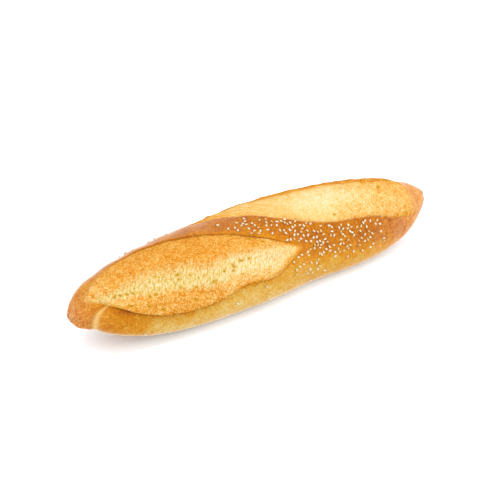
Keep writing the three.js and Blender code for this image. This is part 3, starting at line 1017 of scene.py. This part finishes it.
class Signal:
    """An output socket of a material's node tree."""

    def __init__(self, tree, socket=None):
        self.tree = tree
        self.socket = socket

    def node(self, kind, settings=None, inputs=None, output=0):
        """Adds a node with these settings, feeds values or signals into it and returns an output."""
        made = self.tree.nodes.new(kind)
        for name, value in (settings or {}).items():
            if name == "stops":
                set_stops(made.color_ramp, value)
            else:
                setattr(made, name, value)
        for name, value in (inputs or {}).items():
            if isinstance(value, Signal):
                self.tree.links.new(value.socket, made.inputs[name])
            else:
                made.inputs[name].default_value = value
        return Signal(self.tree, made.outputs[output])

    def math(self, operation, *values, clamp=False):
        """A Math node on numbers or signals."""
        settings = {"operation": operation, "use_clamp": clamp}
        return self.node("ShaderNodeMath", settings, dict(enumerate(values)))

    def __add__(self, other):
        return self.math("ADD", self, other)

    def __radd__(self, other):
        return self.math("ADD", other, self)

    def __sub__(self, other):
        return self.math("SUBTRACT", self, other)

    def __rsub__(self, other):
        return self.math("SUBTRACT", other, self)

    def __mul__(self, other):
        return self.math("MULTIPLY", self, other)

    def clamped(self):
        """The same value kept between 0 and 1."""
        return self.math("ADD", self, 0, clamp=True)

    def step(self, start, end):
        """0 below start, 1 above end and smooth between, like smoothstep above."""
        settings = {"interpolation_type": "SMOOTHSTEP"}
        inputs = {"Value": self, "From Min": start, "From Max": end}
        return self.node("ShaderNodeMapRange", settings, inputs)

    def attribute(self, name):
        """A number that the mesh keeps at each point."""
        return self.node("ShaderNodeAttribute", {"attribute_name": name}, output="Fac")

    def position(self):
        """The place on the object in its own coordinates, in millimetres."""
        place = self.node("ShaderNodeTexCoord", output="Object")
        return self.node("ShaderNodeVectorMath", {"operation": "SCALE"}, {0: place, "Scale": 1 / MM})

    def noise(self, size):
        """Noise round 0 in bumps of the given size, for a signal that is a place in millimetres."""
        inputs = {"Vector": self, "Scale": 1 / size, "Detail": NOISE_DETAIL}
        return self.node("ShaderNodeTexNoise", {}, inputs) - 0.5

    def pores(self, spacing, radius):
        """Soft dots about this far apart, 1 in their middle and 0 outside, for a place in millimetres."""
        distance = self.node("ShaderNodeTexVoronoi", {}, {"Vector": self, "Scale": 1 / spacing})
        return 1 - distance.step(0, radius / spacing)

    def bump(self, strength, depth):
        """The normals of a surface with bumps of this height, for a depth in metres."""
        inputs = {"Strength": strength, "Distance": depth, "Height": self}
        return self.node("ShaderNodeBump", {}, inputs)

    def colour(self, stops):
        """The colour that a ramp of stops has at this value."""
        return self.node("ShaderNodeValToRGB", {"stops": stops}, {"Fac": self})

    def mix(self, first, second):
        """first where this signal is 0 and second where it is 1, as colours."""
        inputs = {MIX_SHARE: self, MIX_FIRST: first, MIX_SECOND: second}
        return self.node("ShaderNodeMix", {"data_type": "RGBA"}, inputs, MIX_RESULT)

    def shader(self, inputs):
        """A Principled shader with these inputs."""
        return self.node("ShaderNodeBsdfPrincipled", {}, inputs)

    def feed(self, output):
        """Shows this shader at a material's output."""
        self.tree.links.new(self.socket, output.inputs["Surface"])


def set_stops(ramp, stops):
    """Gives a colour ramp exactly these stops, each a place and a colour."""
    while len(ramp.elements) > 1:
        ramp.elements.remove(ramp.elements[-1])
    for index, (place, colour) in enumerate(stops):
        element = ramp.elements[0] if index == 0 else ramp.elements.new(place)
        element.position = place
        element.color = colour


def new_material(name):
    """An empty material, its tree's first signal and its output."""
    material = bpy.data.materials.new(name)
    material.use_nodes = True
    tree = material.node_tree
    tree.nodes.clear()
    output = tree.nodes.new("ShaderNodeOutputMaterial")
    return material, Signal(tree), output


print("signals ready")

# %% [markdown]
# ## Colours as they are seen
#
# A listed colour is a screen colour, seen in the light of the studio. The shader wants the share
# of light that the surface sends back, so the screen colour is made linear and divided by the studio's
# light.

# %% Seen colours
STUDIO_LIGHT = 2.0        # brightness of a white surface that lies level


def seen(red, green, blue):
    """The surface colour that looks like this screen colour of 0 to 255, by the sRGB standard's curve."""
    share = np.array([red, green, blue]) / 255
    linear = np.where(share <= 0.04045, share / 12.92, ((share + 0.055) / 1.055) ** 2.4)
    return (*(linear / STUDIO_LIGHT), 1.0)


print("a seen grey of 128 is a surface of", round(seen(128, 128, 128)[0], 3))

# %% [markdown]
# ## The crust's finish
#
# One material covers skin and torn dough, because they are one baked piece. The browning and painted
# shade worked out for each point are shifted a little by fine grain, and ramps turn them into colours: one
# for the skin, one for the torn dough, one for the pale strip and one for the tips' painted rosy sheen.

# %% Crust colours
TORN_STOPS = (
    (0.0, seen(252, 242, 200)),
    (0.15, seen(250, 226, 168)),
    (0.33, seen(251, 208, 128)),
    (0.45, seen(247, 194, 108)),
    (0.6, seen(239, 171, 76)),
    (0.75, seen(229, 151, 48)),
    (0.9, seen(216, 132, 32)),
    (1.0, seen(190, 108, 32)),
)
SKIN_STOPS = (
    (0.0, seen(246, 216, 148)),
    (0.25, seen(230, 186, 92)),
    (0.4, seen(226, 162, 50)),
    (0.52, seen(220, 140, 24)),
    (0.65, seen(204, 122, 30)),
    (0.8, seen(178, 98, 30)),
    (1.0, seen(110, 54, 16)),
)
# From olive, partly painted shade between the strip's fibres, to the cream of a fibre that stands out
STRIP_STOPS = (
    (0.0, seen(200, 160, 40)),
    (0.35, seen(226, 190, 104)),
    (0.55, seen(244, 214, 144)),
    (1.0, seen(255, 242, 204)),
)
# Colours of the tips' painted rosy sheen
ROSY_SHEEN_STOPS = (
    (0.0, seen(206, 116, 44)),
    (0.5, seen(234, 150, 84)),
    (1.0, seen(252, 184, 128)),
)
# Painted shade for the creases
CREASE_SHADE_COLOUR = seen(150, 74, 14)
# Painted highlight on the flap's crest
CREST_HIGHLIGHT_COLOUR = seen(252, 210, 132)
PIT_COLOUR = seen(204, 150, 4)
PORE_COLOUR = seen(136, 70, 4)
print(len(TORN_STOPS), "stops for torn dough,", len(SKIN_STOPS), "for skin")

# %% [markdown]
# The grain could be painted on an image, but the crust would have to be unwrapped for that. Noise needs
# no image: it is a function of the place on the loaf. Three sizes of it shift the colours. Where it is
# drawn out, it makes the fibres of the strip and the streaks along the back burst, and soft dots make
# the pores.

# %% Grain of the crust
GRAIN_SIZES = (1.3, 2.6, 6)    # of the fine, the middling and the coarse grain
FIBRE_STEPS = (0.7, 0.25)      # fibres in a millimetre along the loaf and across the front burst
STREAK_STEPS = (0.05, 0.8)     # the same for the streaks of the back burst
STREAK_FADE = (-10, 50)        # places between which these die out
PORE_SPACING = 8
PORE_RADIUS = 1.3
PORE_PATCHES = (-0.05, 0.1)    # values of the coarse grain between which pores appear
BACK_PORES = 0.5               # share of its pores' strength that the back burst lacks


def drawn_out(start, x, across, steps):
    """Noise with its own number of steps in a millimetre along the loaf and across a burst."""
    stretched = {"X": x * steps[0], "Y": across * steps[1]}
    return start.node("ShaderNodeCombineXYZ", {}, stretched).noise(1)


def crust_grain(start, mask):
    """Noise in three sizes, fibres across the front burst, streaks along the back one, and pores."""
    place = start.position()
    x = start.node("ShaderNodeSeparateXYZ", {}, {"Vector": place}, "X")
    fine, middling, coarse = (place.noise(size) for size in GRAIN_SIZES)
    fibre = drawn_out(start, x - mask.across * FIBRE_LEAN, mask.across, FIBRE_STEPS)
    streak = drawn_out(start, x, mask.across, STREAK_STEPS)
    streak = streak * mask.back_burst * (1 - x.step(*STREAK_FADE))
    pore = place.pores(PORE_SPACING, PORE_RADIUS) * mask.torn
    pore = pore * (1 - mask.back_burst * BACK_PORES) * coarse.step(*PORE_PATCHES)
    return SimpleNamespace(
        x=x, fine=fine, middling=middling, coarse=coarse, fibre=fibre, streak=streak, pore=pore
    )


def weighted(grain, weights):
    """The sum of the fine, the middling and the coarse grain, each times its own weight."""
    fine, middling, coarse = weights
    return grain.fine * fine + grain.middling * middling + grain.coarse * coarse


print("sizes of the material's grain in millimetres:", GRAIN_SIZES)

# %% [markdown]
# Torn dough is speckled. Part of the speckle is the dough's own uneven colour, and part is painted light
# and shade of its crumb: a crumb that stands out is paler, and the hollows between the crumbs are darker.
# The speckle is calmer on the back burst and on the upper part of the front one.

# %% Colour of the torn dough
SPECKLE = (-1, 0.4, 0.7)  # how far each of the three grains shifts the dough's browning
SPECKLE_SHIFT = 0.1       # and how far all of it is shifted
FLECK_STEP = (0, 0.16)    # values of the fine grain between which pale flecks appear
FLECK = 0.22              # their strength, and what the coarse grain adds to it
FLECK_PATCHES = 0.7
UPPER_PART = (12, 30)     # distances from the front burst's outer edge between which its upper part begins
UPPER_CALM = 0.2          # share of the speckle that is missing there
BACK_CALM = 0.5           # and on the back burst, where this much comes back between these places
BACK_LIVELY = 0.35
BACK_LIVELY_X = (40, 110)
STREAK = 1.2              # how far the streaks shift the browning
# The fibres shift the strip's tone: partly the dough's own colour, partly painted light and shade
STRIP_TONE = 0.45         # the strip's tone, and how much paler it gets between these places
STRIP_PALER = 0.15
STRIP_PALER_X = (-90, 0)
STRIP_FIBRE = 1.7         # how far the fibres and the fine grain shift that tone
STRIP_FINE = 0.8


def dough_colour(mask, grain):
    """Torn dough by its browning, speckled, flecked and streaked, and the pale strip by its fibres."""
    upper = mask.across.step(*UPPER_PART) * (1 - mask.back_burst)
    back_calm = BACK_CALM - grain.x.step(*BACK_LIVELY_X) * BACK_LIVELY
    calm = mask.back_burst * back_calm + upper * UPPER_CALM
    fleck = grain.fine.step(*FLECK_STEP) * (FLECK + grain.coarse * FLECK_PATCHES)
    speckle = (SPECKLE_SHIFT + weighted(grain, SPECKLE) - fleck) * (1 - calm)
    brown = mask.browning + speckle + grain.streak * STREAK
    tone = STRIP_TONE + grain.x.step(*STRIP_PALER_X) * STRIP_PALER
    tone = tone + grain.fibre * STRIP_FIBRE + grain.fine * STRIP_FINE
    return mask.strip.mix(brown.clamped().colour(TORN_STOPS), tone.clamped().colour(STRIP_STOPS))


print("the dough's browning is shifted by the grain times", SPECKLE)

# %% [markdown]
# The colours go over each other like coats of paint: first the skin, then the dough with a ragged
# border, the tips' painted rosy sheen, and last the small marks: pores, pits, the crest's painted
# highlight and the creases' painted shade.

# %% Colour of the whole crust
SKIN_GRAIN = (0.5, 0.35, 0.35)    # how far each of the three grains shifts the skin's browning
# The tips' painted rosy sheen
ROSY_SHEEN_TONE = 0.55          # the tips' tone, and how far each grain shifts it
ROSY_SHEEN_GRAIN = (-1.6, -0.8, -0.6)
RAGGED = 8                # how ragged the grain makes the border between skin and dough
PORE_STRENGTH = 0.7
PIT_STRENGTH = 1.6
# The crest's painted highlight, and what the fine grain adds to it
CREST_HIGHLIGHT_STRENGTH = 0.8      # and what the fine grain adds to it
CREST_HIGHLIGHT_GRAIN = 1.5
# How strongly the creases' painted shade covers the colour
CREASE_SHADE_STRENGTH = 0.75


def crust_colour(mask, grain):
    """The skin's colour, and over it each layer's by its own share."""
    skin_brown = mask.browning + weighted(grain, SKIN_GRAIN) * (1 + mask.rosy)
    ragged = mask.torn + (grain.fine + grain.coarse) * mask.torn * (1 - mask.torn) * RAGGED
    rosy_sheen_tone = ROSY_SHEEN_TONE + weighted(grain, ROSY_SHEEN_GRAIN)
    crest = mask.crest * (CREST_HIGHLIGHT_STRENGTH + grain.fine * CREST_HIGHLIGHT_GRAIN)
    layers = (
        (ragged.clamped(), dough_colour(mask, grain)),
        (mask.rosy, rosy_sheen_tone.clamped().colour(ROSY_SHEEN_STOPS)),
        (grain.pore * PORE_STRENGTH, PORE_COLOUR),
        ((mask.pit * PIT_STRENGTH).clamped(), PIT_COLOUR),
        (crest.clamped(), CREST_HIGHLIGHT_COLOUR),
        (mask.crease * CREASE_SHADE_STRENGTH, CREASE_SHADE_COLOUR),
    )
    colour = skin_brown.clamped().colour(SKIN_STOPS)
    for share, layer in layers:
        colour = share.mix(colour, layer)
    return colour


print("the border of skin and dough is ragged by", RAGGED)

# %% [markdown]
# Baked skin has a soft sheen at a slant, and torn dough is dull. So the same colour goes into two
# shaders, and a Mix Shader takes one or the other. Grain too fine for the mesh becomes a bump in both.

# %% Crust material
BUMP_STRENGTH = 0.45
BUMP_DEPTH = 0.6 * MM
SKIN_BUMP = 0.2           # share of the fine grain's height that the skin has
PORE_BUMP = 0.5           # depth of a pore in the bump
SKIN_ROUGHNESS = 0.45
DOUGH_ROUGHNESS = 0.75
SHEEN = {"Sheen Weight": 0.75, "Sheen Roughness": 0.35, "Sheen Tint": (1, 0.85, 0.75, 1)}


def crust_material():
    """Skin with a sheen and dull dough in one material, mixed by where the crust is torn or creased."""
    material, start, output = new_material("baked_crust")
    mask = SimpleNamespace(**{name: start.attribute(name) for name in masks})
    grain = crust_grain(start, mask)
    height = grain.fine * (SKIN_BUMP + mask.torn * (1 - SKIN_BUMP)) + grain.middling * mask.torn
    height = height + grain.fibre * mask.strip - grain.pore * PORE_BUMP
    normal = height.bump(BUMP_STRENGTH, BUMP_DEPTH)
    finish = {"Base Color": crust_colour(mask, grain), "Normal": normal, "Specular IOR Level": 0}
    skin = start.shader({**finish, **SHEEN, "Roughness": SKIN_ROUGHNESS})
    dough = start.shader({**finish, "Roughness": DOUGH_ROUGHNESS})
    dull = (mask.torn + mask.crease).clamped()
    start.node("ShaderNodeMixShader", {}, {0: dull, 1: skin, 2: dough}).feed(output)
    return material


loaf.data.materials.append(crust_material())
print("crust finished")

# %% [markdown]
# ## The seeds' finish
#
# Hulled sesame is ivory. No two seeds toast alike, so each has a tone of its own, kept on its points.

# %% Sesame material
SEED_STOPS = (
    (0.0, seen(226, 182, 112)),
    (0.3, seen(240, 214, 164)),
    (1.0, seen(252, 242, 216)),
)
SEED_GRAIN = 0.9          # size of the grain on a seed, and how far it shifts the tone
SEED_MOTTLE = 0.3
SEED_ROUGHNESS = 0.35


def sesame_material():
    """Ivory that differs from seed to seed, with a faint grain."""
    material, start, output = new_material("toasted_sesame")
    tone = start.attribute("tone") + start.position().noise(SEED_GRAIN) * SEED_MOTTLE
    colour = tone.clamped().colour(SEED_STOPS)
    start.shader({"Base Color": colour, "Roughness": SEED_ROUGHNESS}).feed(output)
    return material


seeds.data.materials.append(sesame_material())
print("seeds finished")

# %% [markdown]
# ## Joining the frame
#
# Both pieces ride on the imported model's only body. The solid loaf is then hidden, so that the crust
# shows in its place.

# %% Ride and hide
for piece, slot in ((loaf, "crust"), (seeds, "sesame")):
    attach(piece, "root")
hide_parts("loaf")
print("pieces ride on root")

# %% [markdown]
# ## A white studio
#
# The loaf lies on a white sheet in soft light from all sides. A lamp almost straight above models the
# top, a larger one in front and to the right lights the side, and the white world fills the shadows, so
# that only a thin one is left where the loaf meets the sheet. The sheet has a hint of blue, which makes
# up for the warm light that the crust throws on it.

# %% The white sheet
WHITE = (1, 1, 1, 1)
PAPER_COLOUR = (0.86, 0.9, 0.97, 1)
PAPER_ROUGHNESS = 0.9
PAPER_GLOW = 0.05
TOOTH = 6                 # size of the paper's tooth, and how strong and how deep it is
TOOTH_STRENGTH = 0.05
TOOTH_DEPTH = 0.3 * MM
FLOOR_HALF = 4000         # from the middle of the sheet to each side
FLOOR_DROP = 0.1          # how far it lies below the sole


def floor_material():
    """Bluish white paper with the faintest tooth and glow."""
    material, start, output = new_material("white_paper")
    tooth = start.position().noise(TOOTH).bump(TOOTH_STRENGTH, TOOTH_DEPTH)
    paper = {"Base Color": PAPER_COLOUR, "Roughness": PAPER_ROUGHNESS, "Normal": tooth}
    glow = {"Emission Color": WHITE, "Emission Strength": PAPER_GLOW}
    start.shader({**paper, **glow}).feed(output)
    return material


corners = np.array([[-1, -1], [1, -1], [1, 1], [-1, 1]]) * FLOOR_HALF
floor_points = np.column_stack([corners, np.full(4, -FLOOR_DROP)])
floor = new_piece("floor", floor_points, np.array([[0, 1, 2, 3]]), np.empty((0, 3), int), {})
floor.data.materials.append(floor_material())

# %% Light and view transform
WORLD_STRENGTH = 1.45
# Each lamp's name, place, aim, size and power, in metres and watts
LAMPS = (
    ("above", (-0.1, -0.1, 1.3), (0, 0, 0), 0.6, 9),
    ("front", (0.4, -1.2, 0.8), (0, 0, 0.03), 1.0, 11),
)


def soft_light(name, place, aim, size, power):
    """A square lamp of this size at place, turned towards aim."""
    lamp = bpy.data.lights.new(name, "AREA")
    lamp.size = size
    lamp.energy = power
    light = bpy.data.objects.new(name, lamp)
    light.location = place
    light.rotation_euler = (Vector(aim) - Vector(place)).to_track_quat("-Z", "Y").to_euler()
    bpy.context.scene.collection.objects.link(light)


world = bpy.data.worlds.new("white_studio")
world.use_nodes = True
background = world.node_tree.nodes["Background"].inputs
background["Color"].default_value = WHITE
background["Strength"].default_value = WORLD_STRENGTH
bpy.context.scene.world = world
for lamp_values in LAMPS:
    soft_light(*lamp_values)
bpy.context.scene.view_settings.view_transform = "Standard"
print("studio set with", len(LAMPS), "lamps")

# %% [markdown]
# ## The camera
#
# The photograph looks down on the front of the loaf from the left, through a long lens. The camera
# stands along that direction from the point it aims at, and its lens is shifted a little, because the
# loaf lies slightly below and to the right of the picture's middle.

# %% Camera
CAMERA_AZIMUTH = -33.4    # degrees from straight in front, negative to the left
CAMERA_ELEVATION = 33.0   # degrees above level
CAMERA_DISTANCE = 1147.3
LENS = 100                # focal length, and the sensor's width
SENSOR = 36
FRAME_PIXELS = 480        # side of the picture
AIM = np.array([0, -7.4, 30])    # the point aimed at, and where it lies in the picture
AIM_PIXEL = (256.8, 257.8)

azimuth, elevation = np.radians([CAMERA_AZIMUTH, CAMERA_ELEVATION])
level_part = np.array([np.sin(azimuth), -np.cos(azimuth)]) * np.cos(elevation)
towards_camera = np.array([*level_part, np.sin(elevation)])
camera_place = AIM + towards_camera * CAMERA_DISTANCE

camera_data = bpy.data.cameras.new("camera")
camera_data.lens = LENS
camera_data.sensor_width = SENSOR
camera_data.shift_x = 0.5 - AIM_PIXEL[0] / FRAME_PIXELS
camera_data.shift_y = AIM_PIXEL[1] / FRAME_PIXELS - 0.5
camera = bpy.data.objects.new("camera", camera_data)
camera.location = Vector(camera_place * MM)
camera.rotation_euler = Vector(towards_camera).to_track_quat("Z", "Y").to_euler()
bpy.context.scene.collection.objects.link(camera)
bpy.context.scene.camera = camera
print("camera at", camera_place)
